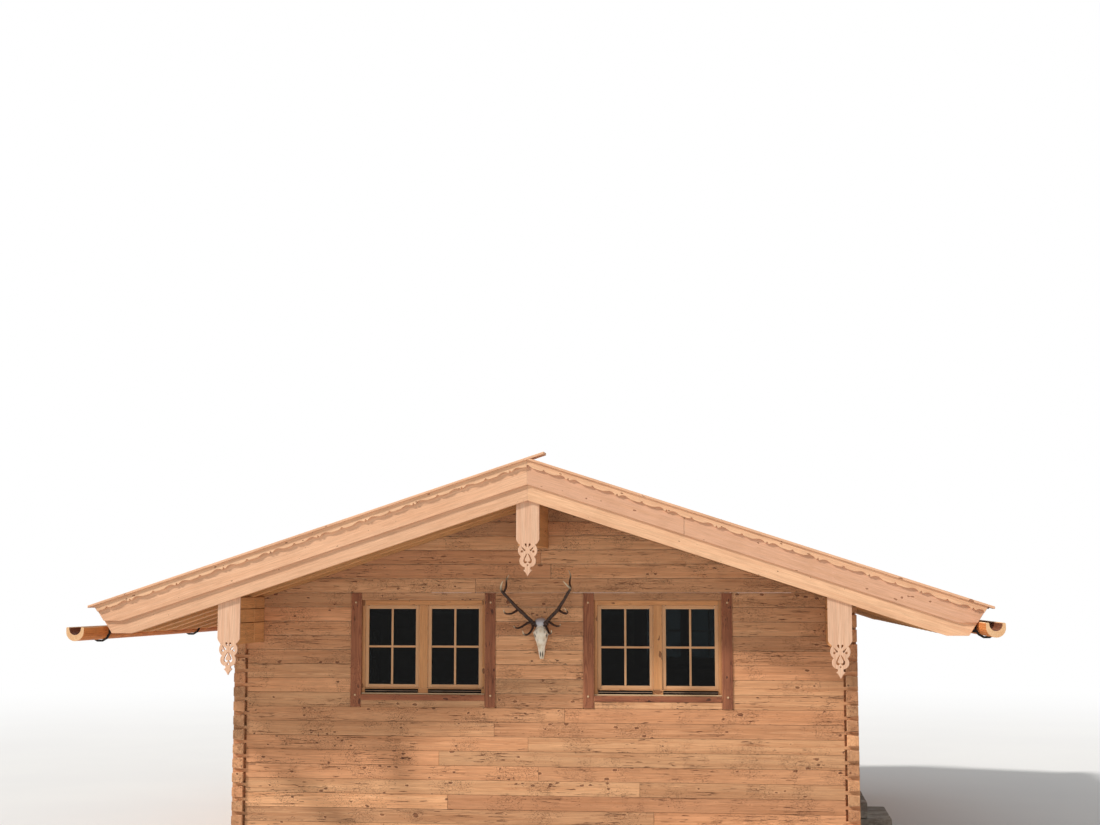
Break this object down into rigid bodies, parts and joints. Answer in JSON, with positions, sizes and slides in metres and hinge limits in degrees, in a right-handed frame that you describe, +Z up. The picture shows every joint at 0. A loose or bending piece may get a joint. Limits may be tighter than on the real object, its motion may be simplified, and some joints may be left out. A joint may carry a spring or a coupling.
{
  "type": "alpine chalet",
  "caption": "Log house on a low plinth with a wide low-pitched gable roof, scalloped verge boards, fretted pendant boards, wooden gutters and double casement windows.",
  "frame": {"origin": "on the ground, under the middle of the house", "axes": "+X along the gable front to its right, +Y from the front into the depth, +Z up"},
  "size_m": [9.4946, 11, 4.4493],
  "materials": {
    "bone": "dry bone, with ribbed brown antlers",
    "carved_board": "pale planed boards, fretted",
    "dark_lining": "dark stained boards",
    "dark_rail": "dark brown weather rail",
    "deck_board": "planed soffit boards",
    "door_plank": "stained planks",
    "floor_wood": "planed boards",
    "gutter_log": "hollowed log, oiled",
    "iron": "forged strap, dull black",
    "new_board": "pale planed boards",
    "pine_frame": "varnished pine",
    "plinth_stone": "rough dressed stone",
    "purlin_timber": "sawn timber",
    "shingle": "split wood shingles",
    "weathered_log": "weathered hewn logs with knots and drying cracks",
    "window_glass": "clear pane",
    "wood_fibre": "wood-fibre insulation board"
  },
  "bodies": {
    "root": {"back_logs_a": "weathered_log", "back_logs_b": "weathered_log", "cover_left": "shingle", "cover_right": "shingle", "deck_left": "deck_board", "deck_right": "deck_board", "door_frame": "dark_lining", "door_leaf": "door_plank", "door_steps": "plinth_stone", "eaves_boards": "new_board", "floor_boards": "floor_wood", "floor_joists": "floor_wood", "front_logs_a": "weathered_log", "front_logs_b": "weathered_log", "gutter_hooks": "iron", "insulation_left": "wood_fibre", "insulation_right": "wood_fibre", "left_gutter": "gutter_log", "left_logs_a": "weathered_log", "left_logs_b": "weathered_log", "left_purlin": "purlin_timber", "lower_verge_back": "new_board", "lower_verge_front": "new_board", "middle_verge_back": "new_board", "middle_verge_front": "new_board", "pendants_back": "carved_board", "pendants_front": "carved_board", "plinth_ends": "plinth_stone", "plinth_sides": "plinth_stone", "rafters": "purlin_timber", "ridge_boards": "new_board", "ridge_purlin": "purlin_timber", "right_gutter": "gutter_log", "right_logs_a": "weathered_log", "right_logs_b": "weathered_log", "right_purlin": "purlin_timber", "stag_trophy": "bone", "upper_verge_back": "new_board", "upper_verge_front": "new_board", "verge_cap_back": "new_board", "verge_cap_front": "new_board", "weather_rails": "dark_rail", "window_frames": "pine_frame", "window_linings": "dark_lining", "window_panes": "window_glass", "window_sashes": "pine_frame"}
  },
  "joints": []
}
